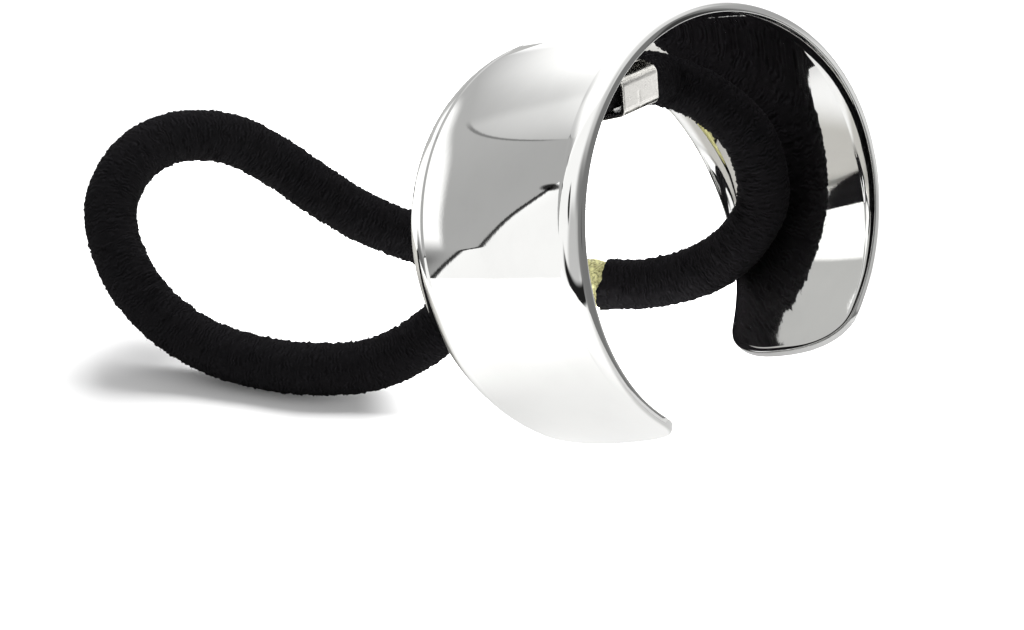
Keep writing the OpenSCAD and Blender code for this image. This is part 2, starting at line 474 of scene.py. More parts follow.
def polish_effect():
    """Fine marks of handling on polished metal: a mottled mask, and the height of thin hairlines."""
    name = "Handling marks"
    if name in bpy.data.node_groups:
        return bpy.data.node_groups[name]
    tree = bpy.data.node_groups.new(name, "ShaderNodeTree")
    tree.interface.new_socket("Place", in_out="INPUT", socket_type="NodeSocketVector")
    for way, keys in (("INPUT", ("Cloud size", "Hairline size")), ("OUTPUT", ("Cloud", "Height"))):
        for key in keys:
            tree.interface.new_socket(key, in_out=way, socket_type="NodeSocketFloat")
    source = tree.nodes.new("NodeGroupInput").outputs
    cloud = grain(source["Place"], Field(source["Cloud size"]), 3.0, 0.6).smooth(0.35, 0.75)
    x, y, z = parted(source["Place"])
    drawn = joined(x * 0.08, y, z)
    hairs = grain(drawn, Field(source["Hairline size"]), 2.0, 0.6)
    make(tree, "NodeGroupOutput", {"Cloud": cloud, "Height": hairs})
    return tree


def use_effect(tree, effect, values):
    """Places an effect in a material and gives its outputs as fields by name."""
    node = make(tree, "ShaderNodeGroup", values, node_tree=effect)
    return {out.name: Field(out) for out in node.outputs}


def bump(height, distance, strength=1.0):
    """The normal that a height makes."""
    values = {"Height": height, "Distance": distance, "Strength": strength}
    return make(height.id_data, "ShaderNodeBump", values).outputs[0]


def mixed(factor, a, b):
    """A colour between two colours."""
    values = {0: factor, 6: a, 7: b}
    return make(factor.id_data, "ShaderNodeMix", values, data_type="RGBA").outputs[2]


def rgba(colour, times=1.0):
    """A colour with its alpha, lighter or darker by a factor."""
    return (*[min(1.0, c * times) for c in colour], 1.0)


def metal(name, colour, rough, marks_depth, cloud_size, hairline):
    """Polished metal with faint handling marks, and darker where the piece carries a mark for its rim."""
    material, tree, shader, place = new_material(name)
    marks = use_effect(
        tree, polish_effect(), {"Place": place, "Cloud size": cloud_size, "Hairline size": hairline})
    plain = mixed(marks["Cloud"], rgba(colour), rgba(colour, 0.97))
    rim = make(tree, "ShaderNodeAttribute", attribute_name="rim").outputs["Fac"]
    fill(shader, {
        "Metallic": 1.0, "Base Color": mixed(rim, plain, rgba(colour, RIM_TONE)),
        "Roughness": marks["Cloud"] * rough + rough, "Normal": bump(marks["Height"], marks_depth)})
    return material


def at(i):
    """A point of the route in metres. The route is a closed ring."""
    return Vector(ROUTE[i % len(ROUTE)]) * MM


def curve(i, t):
    """The smooth curve through the route's points, a share t of the way after point i."""
    a, b, c, d = (at(i + k) for k in (-1, 0, 1, 2))
    return (2 * b + (c - a) * t + (2 * a - 5 * b + 4 * c - d) * t * t + (3 * b - a - 3 * c + d) * t ** 3) / 2


def evenly(points, step):
    """Points at even steps along a line."""
    gaps = [(b - a).length for a, b in zip(points, points[1:])]
    whole = sum(gaps)
    count = round(whole / step)
    out = []
    k, passed = 0, 0.0
    for i in range(count + 1):
        goal = whole * i / count
        while k < len(gaps) - 1 and passed + gaps[k] < goal:
            passed += gaps[k]
            k += 1
        out.append(points[k].lerp(points[k + 1], min(1.0, (goal - passed) / gaps[k])))
    return out, whole


def path_mesh(name, points, marks):
    """A line of points as a mesh. It carries, for each point, its place, how far along it is, which way the
    line runs and bends there, and the given marks."""
    mesh = bpy.data.meshes.new(name)
    mesh.from_pydata(points, [(i, i + 1) for i in range(len(points) - 1)], [])
    run = 0.0
    last = len(points) - 1
    rows = {"middle": [], "ahead": [], "bend": [], "run": []}
    reach = 4
    for i, p in enumerate(points):
        a, b = points[max(i - 1, 0)], points[min(i + 1, last)]
        far = min(max(i, reach), last - reach)
        before, here, after = points[far - reach], points[far], points[far + reach]
        step = (after - before).length / 2
        rows["middle"].append(p)
        rows["ahead"].append((b - a).normalized())
        rows["bend"].append((before + after - 2 * here) / (step * step))
        rows["run"].append(run)
        run += (b - p).length
    for key, values in {**rows, **marks}.items():
        kind, item = ("FLOAT_VECTOR", "vector") if isinstance(values[0], Vector) else ("FLOAT", "value")
        for place, value in zip(mesh.attributes.new(key, kind, "POINT").data, values):
            setattr(place, item, value)
    return mesh


def moved_to(mesh, place, lowest):
    """The mesh with its points at a new place, but none below the lowest height, and that place's height."""
    x, y, z = parted(place)
    values = {"Geometry": mesh, "Position": joined(x, y, z.most(lowest))}
    return make(mesh.id_data, "GeometryNodeSetPosition", values).outputs[0], z


def named(tree, name, kind="FLOAT"):
    """The socket of a named attribute."""
    node = make(tree, "GeometryNodeInputNamedAttribute", {"Name": name}, data_type=kind)
    return node.outputs["Attribute"]


def stored(geometry, name, value):
    """The geometry with a number stored on each of its points."""
    return make(
        geometry.id_data, "GeometryNodeStoreNamedAttribute",
        {"Geometry": geometry, "Name": name, "Value": value}, data_type="FLOAT", domain="POINT").outputs[0]


def tube_along(line, sides, radius, marked=None):
    """A capped tube along a curve. Its profile's points may carry their share of a turn as an attribute."""
    tree = line.id_data
    values = {"Resolution": sides, "Radius": radius}
    profile = make(tree, "GeometryNodeCurvePrimitiveCircle", values).outputs[0]
    if marked:
        turn = make(tree, "GeometryNodeSplineParameter").outputs["Factor"]
        profile = stored(profile, marked, turn)
    values = {"Curve": line, "Profile Curve": profile, "Fill Caps": True}
    return make(tree, "GeometryNodeCurveToMesh", values).outputs[0]


def arc_centre(sizes):
    """Where the arc's centre lies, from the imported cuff's box and the back corner of its crown."""
    half = sizes.crown_w / 2
    drop = sizes.bulge * (sizes.crown_w / sizes.side_w) ** 2
    drop += math.tan(sizes.border_turn) / 2 * sizes.border_w
    high = sizes.arc_rz - drop
    up, out = math.cos(sizes.lean), math.sin(sizes.lean)
    return Vector((
        (CUFF_LOW.x + CUFF_HIGH.x) / 2,
        CUFF_HIGH.y - half * up - high * out,
        CUFF_HIGH.z - high * up - half * out,
    ))


def knit_material(finish):
    """The elastic's knitted cover: rows of small stitches in nearly black thread, with painted light on their
    ridges and painted shade in the furrows between them.
    """
    material, tree, shader, place = new_material("knitted_cover")
    weave = make(tree, "ShaderNodeUVMap", uv_map="weave").outputs[0]
    along, around, _ = parted(weave)
    column = (around.math("FRACT") - 0.5).size()
    waver = grain(place, 1.3 * MM, 2.0) * 3
    patch = grain(place, 1.0 * MM, 1.0).smooth(0.44, 0.56)
    stitch = ((along + column * 0.4 + waver) * math.tau).sin() * 0.5 + 0.5
    threads = stitch * patch + (1 - patch) * 0.45
    lint = grain(place, 0.35 * MM, 3.0, 0.7)
    tone = grain(place, 5 * MM, 2.0)
    # Painted light and shade of the stitches: lighter on their ridges and darker in the furrows between them
    stitch_painted_shade = mixed(threads, rgba(finish.knit, 0.4), rgba(finish.knit, 1.6))
    faded = mixed((lint - 0.55).unit() * 1.8, stitch_painted_shade, rgba(finish.knit, 3.5))
    fill(shader, {
        "Base Color": mixed(tone * 0.35, faded, rgba((0.0092, 0.0078, 0.0082))),
        "Roughness": lint * 0.2 + 0.78, "Specular IOR Level": 0.05,
        "Normal": bump(threads * 0.7 + lint * 1.1, 0.09 * MM, 0.9)})
    return material


def elastic_tree(sizes, material, middle):
    """The node group of the elastic: a ribbed and wrinkled tube along its path, squeezed where the strap
    holds it, with ragged ends and loose fibres."""
    tree, path, size = sized_tree("Covered elastic", sizes)
    line = make(tree, "GeometryNodeMeshToCurve", {"Mesh": path}).outputs[0]
    tube = tube_along(line, TUBE_SIDES, size["cord_d"] / 2, "turn")
    centre, ahead, bend = (named(tree, key, "FLOAT_VECTOR") for key in ("middle", "ahead", "bend"))
    run, over, width = (Field(named(tree, key)) for key in ("run", "over", "width"))
    place = make(tree, "GeometryNodeInputPosition").outputs[0]
    out = vector("NORMALIZE", vector("SUBTRACT", place, centre))
    radius = size["cord_d"] / 2

    # Short ribs across the elastic, in wavy rows that break off, and wrinkles where it bends
    about = vector("ADD", scaled(out, 2.2 * MM), joined(run * 1.1, 0, 0))
    uneven = grain(about, 1.1 * MM, 2.0)
    patch = grain(about, 0.95 * MM, 1.0).smooth(0.47, 0.6)
    rib = ((run / size["rib_pitch"] + uneven * 3.5) * math.tau).sin() * patch
    inside = dot(out, bend) * radius
    pinch = (inside * 2.2 + 0.45).unit()
    creased = vector("ADD", scaled(out, 1.5 * MM), joined(run * 3.2, 0, 0))
    wrinkle = (grain(creased, 1.9 * MM, 3.0, 0.55) - 0.5) * size["wrinkle"] * 2
    soft = (grain(centre, 9 * MM, 1.0) - 0.5) * 0.25 * MM
    nap = (grain(place, 0.55 * MM, 2.0, 0.7) - 0.5) * 0.9 * MM
    lift = rib * size["rib_depth"] * (pinch * 0.4 + 0.6) + nap + wrinkle * (pinch * 0.85 + 0.15) + soft

    # The ragged edge of the cover reaches past its last ring
    fray = grain(scaled(out, 4 * MM), 1.5 * MM, 2.0, 0.8)
    _, _, facing = parted(out)
    lower = facing.fade(0.1, 0.6)
    reach = scaled(ahead, over * (fray * 0.55 + lower * 0.6))
    wide_out = scaled(out, radius * width + lift)
    shaped = vector("ADD", wide_out, reach)

    # The strap presses the elastic flat, and it swells to both sides
    x, _, _ = parted(centre)
    near = measure("DISTANCE", centre, middle).math("LESS_THAN", SQUEEZE_REACH)
    hold = near * ((x.size() - FLAT_LEN) / SWELL_LEN).fade(0, 1)
    flat = hold * (size["squeezed_h"] / size["cord_d"] - 1)
    wide = hold * (size["squeezed_w"] / size["cord_d"] - 1)
    up_part = scaled(LEAN_UP, dot(shaped, LEAN_UP) * flat)
    out_part = scaled(LEAN_OUT, dot(shaped, LEAN_OUT) * wide)
    pressed = vector("ADD", vector("ADD", shaped, up_part), out_part)
    moved, high = moved_to(tube, vector("ADD", centre, pressed), ELASTIC_LOWEST)

    # Loose fibre ends, short and bent, all round the cover
    fibre_line = make(
        tree, "GeometryNodeCurveQuadraticBezier",
        {"Resolution": 3, "Start": (0, 0, -0.05 * MM), "Middle": (0.05 * MM, 0, 0.12 * MM),
         "End": (0.22 * MM, 0, 0.2 * MM)})
    fibre = tube_along(fibre_line.outputs[0], 3, 0.014 * MM)
    spots = make(
        tree, "GeometryNodeDistributePointsOnFaces",
        {"Mesh": moved, "Selection": high.math("GREATER_THAN", FIBRES_FROM),
         "Density": size["fibres"] / ELASTIC_AREA, "Seed": size["seed"]})
    spin = make(
        tree, "FunctionNodeRandomValue",
        {"Min": (0, 0, -math.pi), "Max": (0, 0, math.pi), "Seed": size["seed"]}, data_type="FLOAT_VECTOR")
    stature = make(
        tree, "FunctionNodeRandomValue", {2: 0.5, 3: 1.5, "Seed": size["seed"] + 1}, data_type="FLOAT")
    turned = make(
        tree, "FunctionNodeRotateRotation",
        {"Rotation": spots.outputs["Rotation"], "Rotate By": spin.outputs[0]}, rotation_space="LOCAL")
    fuzz = make(
        tree, "GeometryNodeInstanceOnPoints",
        {"Points": spots.outputs["Points"], "Instance": fibre, "Rotation": turned.outputs[0],
         "Scale": stature.outputs[1]})
    both = make(tree, "GeometryNodeJoinGeometry")
    tree.links.new(fuzz.outputs[0], both.inputs[0])
    tree.links.new(moved, both.inputs[0])
    end_tree(both.outputs[0], material)
    return tree


def weave_map(mesh, pitch):
    """Gives a tube the UV map that its knit follows: ribs along it and columns round it."""
    run = mesh.attributes["run"].data
    turn = mesh.attributes["turn"].data
    layer = mesh.uv_layers.new(name="weave")
    for face in mesh.polygons:
        turns = [turn[v].value for v in face.vertices]
        over_seam = max(turns) - min(turns) > 0.5
        for corner, v, t in zip(face.loop_indices, face.vertices, turns):
            t += 1.0 if over_seam and t < 0.5 else 0.0
            layer.data[corner].uv = (run[v].value / pitch, t * COLUMNS)


def cover_path(sizes):
    """The elastic's path, with the rings of its two ragged ends."""
    count = len(ROUTE) - 1
    fine = [curve(i, k / ROUTE_SPLIT) for i in range(count) for k in range(ROUTE_SPLIT)]
    points, whole = evenly(fine + [curve(count, 0)], TUBE_STEP)
    inner = (sizes.joint_d + HEM_ROOM) / sizes.cord_d
    hem = [(0.0, 1.0), (HEM, HEM_SWELL), (HEM, inner), (0.0, inner)]
    start, end = points[0], points[-1]
    first = (points[1] - start).normalized() * HEM_STEP
    last = (end - points[-2]).normalized() * HEM_STEP
    head = [start + first * (k - len(hem)) for k in range(len(hem))]
    tail = [end + last * (k + 1) for k in range(len(hem))]
    over = [-o * MM for o, _ in reversed(hem)] + [0.0] * len(points) + [o * MM for o, _ in hem]
    width = [w for _, w in reversed(hem)] + [1.0] * len(points) + [w for _, w in hem]
    return head + points + tail, {"over": over, "width": width}, points, whole


class HAIRTIE_OT_elastic(bpy.types.Operator):
    """Build the loop of covered elastic"""

    bl_idname = "hair_tie.elastic"
    bl_label = "Elastic"

    def execute(self, context):
        settings = context.scene.hair_tie
        sizes = settings.elastic
        rings, marks, points, whole = cover_path(sizes)
        middle = arc_centre(settings.cuff) + settings.strap.strap_r * LEAN_UP
        tree = elastic_tree(sizes, knit_material(settings.finish), middle)
        piece = grown("covered_elastic", tree, path_mesh("elastic_path", rings, marks), sizes)
        weave_map(piece.data, sizes.rib_pitch)
        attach(piece, BODY)
        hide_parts("elastic")
        soft_pieces().objects.link(piece)
        context.scene["cord_path"] = [list(p) for p in (*points[::CORD_EVERY], points[-1])]
        context.scene["cord_length"] = whole
        return {"FINISHED"}


def glue_material(finish):
    """Dried glue: pale and crumbly, with darker specks and pits."""
    material, _, shader, place = new_material("dried_glue")
    lumps = grain(place, 0.7 * MM, 4.0, 0.65)
    specks = grain(place, 0.28 * MM, 2.0, 0.6).smooth(0.56, 0.68)
    stain = grain(place, 1.8 * MM, 2.0, 0.5).smooth(0.45, 0.7)
    pale = mixed(lumps.smooth(0.3, 0.65), rgba(finish.glue, 0.62), rgba(finish.glue, 1.18))
    folds = 1 - ((grain(place, 1.1 * MM, 2.0, 0.5) - 0.5).size() * 14).unit()
    # Darker in patches and along the folds
    stains_and_darker_folds = mixed((stain * 0.5 + folds * 0.5).unit(), pale, rgba((0.27, 0.24, 0.08)))
    fill(shader, {
        "Base Color": mixed(specks * 0.75, stains_and_darker_folds, rgba(finish.glue_dark)),
        "Roughness": lumps * 0.4 + 0.25,
        "Normal": bump(lumps - specks * 0.4 - folds * 0.3, 0.5 * MM)})
    return material


def joint_tree(sizes, material):
    """The node group of the joint: a lumpy and pitted tube along its path."""
    tree, path, size = sized_tree("Glued joint", sizes)
    line = make(tree, "GeometryNodeMeshToCurve", {"Mesh": path}).outputs[0]
    tube = tube_along(line, JOINT_SIDES, size["joint_d"] / 2)
    place = make(tree, "GeometryNodeInputPosition").outputs[0]
    centre = named(tree, "middle", "FLOAT_VECTOR")
    width = Field(named(tree, "width"))
    out = vector("SUBTRACT", place, centre)
    lumps = grain(place, 1.5 * MM, 3.0, 0.6) - 0.62
    pits = grain(place, 0.5 * MM, 2.0, 0.6) - 0.5
    factor = width * (1 + lumps * 0.22 + pits * 0.07)
    lumpy, _ = moved_to(tube, vector("ADD", centre, scaled(out, factor)), JOINT_LOWEST)
    end_tree(lumpy, material)
    return tree


class HAIRTIE_OT_joint(bpy.types.Operator):
    """Build the glued joint that closes the elastic"""

    bl_idname = "hair_tie.joint"
    bl_label = "Joint"

    def execute(self, context):
        settings = context.scene.hair_tie
        sizes = settings.elastic
        tree = joint_tree(sizes, glue_material(settings.finish))
        span = (1 - 2 * JOINT_CLEAR) / JOINT_RINGS
        points = [curve(len(ROUTE) - 1, JOINT_CLEAR + span * k) for k in range(JOINT_RINGS + 1)]
        width = [JOINT_END] + [1.0] * (JOINT_RINGS - 1) + [JOINT_END]
        piece = grown("glued_joint", tree, path_mesh("joint_path", points, {"width": width}), sizes)
        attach(piece, BODY)
        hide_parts("joint")
        line = [list(p) for p in context.scene["cord_path"]]
        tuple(line[0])
        return {"FINISHED"}


def cuff_tree(sizes, material, centre):
    """The node group of the cuff's sheet. Spokes run from its middle line out over the border and round the
    edge, and back along the inner face. Over the ends they fan out from one point."""
    tree, _, size = sized_tree("Cuff sheet", sizes)
    across, steps = 4 * SPOKES, sum(STEPS)
    grid = make(
        tree, "GeometryNodeMeshGrid",
        {"Size X": 4.0, "Size Y": float(steps), "Vertices X": across + 1, "Vertices Y": steps + 1})
    x, y, _ = parted(make(tree, "GeometryNodeInputPosition").outputs[0])
    round_way = ((x + 2) * SPOKES).math("ROUND") / SPOKES
    step = (y + steps / 2).math("ROUND")

    # Which quarter of the outline a spoke goes to: its share of the way from the crown to the tip
    quarter = round_way.math("PINGPONG", 1)
    end_side = (2 - round_way).sign()
    edge_side = ((round_way - 2).size() - 1).sign()
    body = (quarter / TIP_FROM).least(1)
    tip = (((quarter - TIP_FROM) / (1 - TIP_FROM)).most(0) - 1) * (-math.pi / 2)

    # The outline: the sheet's half width goes through its three stated widths, and the ends are rounded
    end_turn = 1 - size["half_arc"].cos()
    side_gain = (size["side_w"] - size["crown_w"]) / 2
    end_gain = (size["end_w"] - size["crown_w"]) / 2
    end_bend = (end_gain - end_turn * side_gain) / (end_turn * end_turn - end_turn)
    power = (size["end_power"] / 2) ** -1
    middle = (size["half_arc"] - size["end_arc"]) * body
    turn = middle + size["end_arc"] * tip.cos().most(0) ** power
    bent = 1 - turn.cos()
    half = size["crown_w"] / 2 + (side_gain - end_bend) * bent + end_bend * bent * bent
    outline = half * tip.sin().most(0) ** power
    mean_r = (size["arc_rx"] + size["arc_rz"]) / 2
    forward = (turn - middle) * mean_r
    spoke = (forward * forward + outline * outline).root()

    # The border narrows towards the ends
    late = ((turn - size["border_from"]) / size["border_over"]).unit()
    border = (size["border_w"] * (1 - (1 - size["border_end"]) * late)).least(size["border_share"] * spoke)

    # How far from the edge, and how deep below the outer face, each step along a spoke lies
    starts = [sum(STEPS[:k]) for k in range(len(STEPS))]
    part = [((step - start) / count).unit() for start, count in zip(starts, STEPS)]
    plate, bead, corner, flat, inner_corner, inner_bead, inner_plate = part
    rim = size["rim_r"]
    quarter_turn = math.pi / 2
    spare = 1 - plate
    inset = (
        rim + (border - rim) * (1 - bead) + (spoke - border) * spare * spare
        - rim * (corner * quarter_turn).sin() + rim * (1 - (inner_corner * quarter_turn).cos())
        + (border - rim) * inner_bead + (spoke - border) * inner_plate * inner_plate)
    depth = (
        rim * (1 - (corner * quarter_turn).cos()) + (size["sheet_t"] - rim * 2) * flat
        + rim * (inner_corner * quarter_turn).sin())
    kept = 1 - inset / spoke
    a = middle + (turn - middle) * kept
    w = outline * kept

    # The face bulges, and the border dips at its inner line and curls in
    bulge = size["bulge"] * (w * 2 / size["side_w"]) ** 2
    curl = ((border - inset) / border).unit()
    slope_in = -size["border_dip"]
    slope_out = size["border_turn"].math("TANGENT") + size["border_dip"]
    border_drop = border * (slope_in * curl + (slope_out - slope_in) * curl * curl / 2)
    sheet = joined(a * end_side * mean_r, w * edge_side, 0)
    wave = (grain(sheet, size["wave_size"], 1.0) - 0.5) * size["wave"]
    sunk = bulge + border_drop + depth + wave
    raw_x = (size["arc_rx"] - sunk) * a.sin() * end_side
    raw_y = -w * edge_side
    raw_z = (size["arc_rz"] - sunk) * a.cos()

    # It leans back about the arc's centre
    up, out = size["lean"].cos(), size["lean"].sin()
    stood = joined(
        raw_x + centre.x, raw_y * up + raw_z * out + centre.y, raw_z * up - raw_y * out + centre.z)
    # Darker colour near the sheet's edge
    near_edge_darker = inset.fade(RIM_FULL, RIM_GONE)
    marked = stored(grid.outputs[0], "rim", near_edge_darker)
    sheet_mesh = make(tree, "GeometryNodeSetPosition", {"Geometry": marked, "Position": stood})
    closed = make(
        tree, "GeometryNodeMergeByDistance", {"Geometry": sheet_mesh.outputs[0], "Distance": 0.004 * MM})
    end_tree(closed.outputs[0], material)
    return tree


class HAIRTIE_OT_cuff(bpy.types.Operator):
    """Build the cuff's bright sheet"""

    bl_idname = "hair_tie.cuff"
    bl_label = "Cuff"

    def execute(self, context):
        settings = context.scene.hair_tie
        sizes = settings.cuff
        bright = metal("bright_metal", settings.finish.bright, 0.02, 0.0006 * MM, 6 * MM, 0.4 * MM)
        tree = cuff_tree(sizes, bright, arc_centre(sizes))
        piece = grown("cuff_sheet", tree, bpy.data.meshes.new("cuff_seed"), sizes)
        closed_up(piece.data, 0.002 * MM)
        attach(piece, BODY)
        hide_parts("cuff")
        return {"FINISHED"}


def bend(a, b, c, radius, steps):
    """The arc that rounds the corner b between a and c, as points and outward normals."""
    u, v = (a - b).normalized(), (c - b).normalized()
    half = u.angle(v) / 2
    mid = b + (u + v).normalized() * radius / math.sin(half)
    start = b + u * radius / math.tan(half) - mid
    sweep = (math.pi - 2 * half) * (1 if u.x * v.y - u.y * v.x < 0 else -1)
    arc = []
    for i in range(steps + 1):
        t = sweep * i / steps
        c, s = math.cos(t), math.sin(t)
        arm = Vector((start.x * c - start.y * s, start.x * s + start.y * c))
        arc.append((mid + arm, arm.normalized()))
    return arc


def strip_line(corners, radius, gap):
    """A closed line of points with outward normals round a polygon with rounded corners."""
    line = []
    count = len(corners)
    for i in range(count):
        arc = bend(corners[i - 1], corners[i], corners[(i + 1) % count], radius, BEND_FACETS)
        if line:
            line += between(line[-1], arc[0], gap)
        line += arc
    return line + between(line[-1], line[0], gap)


def between(a, b, gap):
    """Points and normals along the straight line between two."""
    count = max(1, round((b[0] - a[0]).length / gap))
    return [(a[0].lerp(b[0], k / count), a[1].lerp(b[1], k / count)) for k in range(1, count)]


def strap_relief(x, q, normal):
    """How deep the strap's outer face is pressed in: two fine lines near the lower edge of its front, and a
    short slit above them."""
    if normal.x > -0.8 or normal.y >= 0:
        return 0.0
    along = (q.y - FRONT_LOW) / (FRONT_HIGH - FRONT_LOW)
    lines = sum(groove(along, centre, 0.022) for centre in (0.06, 0.17))
    slit = groove(x / MM, -0.35, 0.22) * (1 if 0.1 < along < 0.55 else 0)
    return 0.04 * MM * min(1.0, lines * 0.8 + slit * 0.6)


def groove(value, centre, width):
    """1 in the middle of a groove and 0 outside it."""
    return max(0.0, 1 - abs(value - centre) / width)


def strap_mesh(sizes, cuff, centre):
    """The strap: a strip bent round the elastic, with a neck above it and two feet under the crown."""
    top = sizes.strap_h / 2
    t = sizes.strap_t
    bend_z = top - sizes.bend_low
    corners = [Vector(corner) for corner in (
        (-sizes.foot_w / 2, -top), (sizes.foot_w / 2, -top),
        (sizes.strap_w / 2, bend_z), (sizes.strap_w / 2 - sizes.bend_in, top),
        (sizes.bend_in - sizes.strap_w / 2, top), (-sizes.strap_w / 2, bend_z))]
    line = strip_line(corners, sizes.bend_r, STRAP_EDGE)
    half = sizes.strap_len / 2
    work = bmesh.new()

    def put_point(x, y, z):
        z += sizes.strap_r
        up, out = math.cos(cuff.lean), math.sin(cuff.lean)
        return work.verts.new(Vector((x, y * up + z * out, z * up - y * out)) + centre)

    def join_rings(rings):
        for ring, after in zip(rings, rings[1:]):
            for j in range(len(ring)):
                k = (j + 1) % len(ring)
                work.faces.new((ring[j], ring[k], after[k], after[j]))

    turns = (0, math.pi / 6, math.pi / 3)
    corner = [(STRAP_EDGE * (1 - math.sin(a)), STRAP_EDGE * (1 - math.cos(a))) for a in turns]
    section = [(-half, STRAP_EDGE)] + [(-half + s, d) for s, d in reversed(corner)]
    wide = half - STRAP_EDGE
    section += [(-wide + 2 * wide * k / STRAP_COLUMNS, 0.0) for k in range(1, STRAP_COLUMNS)]
    section += [(half - s, d) for s, d in corner] + [(half, STRAP_EDGE)]
    section += [(x, t - d) for x, d in reversed(section)]
    rings = []
    for q, normal in line:
        rings.append([])
        for x, depth in section:
            extra = strap_relief(x, q, normal) if depth == 0.0 else 0.0
            rings[-1].append(put_point(x, *(q - normal * (depth + extra))))
    join_rings(rings + rings[:1])

    # The neck and the feet, as one T-shaped bar with rounded corners
    crown_z = cuff.arc_rz - cuff.sheet_t + FEET_SINK - sizes.strap_r
    foot = sizes.feet_w / 2
    low = crown_z - t - FEET_SINK
    side = [(t, top - t / 2), (t, low - TEE_FILLET), (t + TEE_FILLET, low), (foot, low), (foot, crown_z)]
    tee = [(-t, top - t / 2), *side, *((-y, z) for y, z in reversed(side[1:]))]
    ends = []
    for x, inset in ((-half, TEE_EDGE), (-half + TEE_EDGE, 0), (half - TEE_EDGE, 0), (half, TEE_EDGE)):
        ends.append([put_point(x, y - math.copysign(inset, y), z) for y, z in tee])
    join_rings(ends)
    work.faces.new(ends[0])
    work.faces.new(list(reversed(ends[-1])))
    return mesh_of("strap", work)


def strap_material(finish, sizes, centre):
    """Worn nickel: satin on the front, and darker and streaked above its bend, where the darkness is painted
    shade.
    """
    material = metal("strap_metal", finish.nickel, 0.16, 0.004 * MM, 1.5 * MM, 0.12 * MM)
    tree = material.node_tree
    shader = tree.nodes["Principled BSDF"]
    clean = shader.inputs["Base Color"].links[0].from_socket
    place = tree.nodes["Texture Coordinate"].outputs["Object"]
    # Above the bend the colour is painted shade: darker, with streaks
    raised = dot(vector("SUBTRACT", place, centre), LEAN_UP)
    bend_z = sizes.strap_r + sizes.strap_h / 2 - sizes.bend_low
    high = (raised - (bend_z + 0.35 * MM)).smooth(0, 0.3 * MM)
    x, y, z = parted(place)
    streaks = grain(joined(x * 0.12, y, z), 0.22 * MM, 2.0, 0.6).smooth(0.35, 0.65)
    painted_shade_above_bend = mixed(streaks, rgba((0.2, 0.19, 0.16)), rgba((0.62, 0.6, 0.54)))
    specks = grain(place, 0.3 * MM, 3.0, 0.7).smooth(0.58, 0.72)
    mottled = mixed(specks * 0.35, clean, rgba((0.35, 0.33, 0.3)))
    put(shader.inputs["Base Color"], mixed(high, mottled, painted_shade_above_bend))
    return material


class HAIRTIE_OT_strap(bpy.types.Operator):
    """Build the strap under the cuff's crown"""

    bl_idname = "hair_tie.strap"
    bl_label = "Strap"

    def execute(self, context):
        settings = context.scene.hair_tie
        centre = arc_centre(settings.cuff)
        mesh = strap_mesh(settings.strap, settings.cuff, centre)
        mesh.materials.append(strap_material(settings.finish, settings.strap, centre))
        piece = placed("strap", mesh)
        closed_up(mesh, 0.0)
        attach(piece, BODY)
        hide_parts("cuff")
        return {"FINISHED"}


def floor_material(finish):
    """The pale surface, with the faintest mottling. In the metal's reflections its colour is painted shade: a
    little darker, darker still within a circle, and divided by the pools' brightness so that the pools of
    light don't show there.
    """
    material, tree, shader, place = new_material("pale_surface")
    cloud = grain(place, 125 * MM, 2.0)
    # Painted shade: the colour that the metal mirrors is darker, most of all within a circle, and the pools'
    # brightness is divided out of it
    mirrored = Field(tree.nodes.new("ShaderNodeLightPath").outputs["Is Glossy Ray"])
    off = vector("SUBTRACT", place, (*SHADED_PLACE, 0))
    painted_shade_mask = dot(off, off).root().fade(SHADED_INNER, SHADED_OUTER)
    mirrored_painted_shade = mixed(painted_shade_mask, rgba(finish.floor, MIRRORED_TONE), rgba(SHADED_TONE))
    light = 1
    for x, y, radius in POOLS:
        off = vector("SUBTRACT", place, (x, y, 0))
        light += dot(off, off).fade((1 - POOL_BLEND) * radius ** 2, radius ** 2) * POOL_GAIN
    shade = mixed(mirrored, rgba(finish.floor), scaled(mirrored_painted_shade, light ** -1))
    fill(shader, {
        "Base Color": mixed(cloud * 0.01, shade, rgba((0, 0, 0))),
        "Roughness": cloud * 0.1 + 0.85, "Specular IOR Level": 0.0})
    return material


def spot(turn, rise, at_turn, at_rise, wide, high, lean=0.0):
    """A soft oval on the tent: 1 in its middle and 0 outside. It leans by an angle in degrees."""
    c, s = math.cos(math.radians(lean)), math.sin(math.radians(lean))
    u = (turn - at_turn) * c - (rise - at_rise) * s
    v = (turn - at_turn) * s + (rise - at_rise) * c
    return ((u / wide) ** 2 + (v / high) ** 2).fade(0.35, 1.4)


def line(off, half, soft):
    """A line on the tent: 1 where off is within half of nothing, fading over soft."""
    return off.size().fade(half, half + soft)


def blend(tone, other, mask):
    """A tone that turns into another one under a mask."""
    return tone + (other - tone) * mask


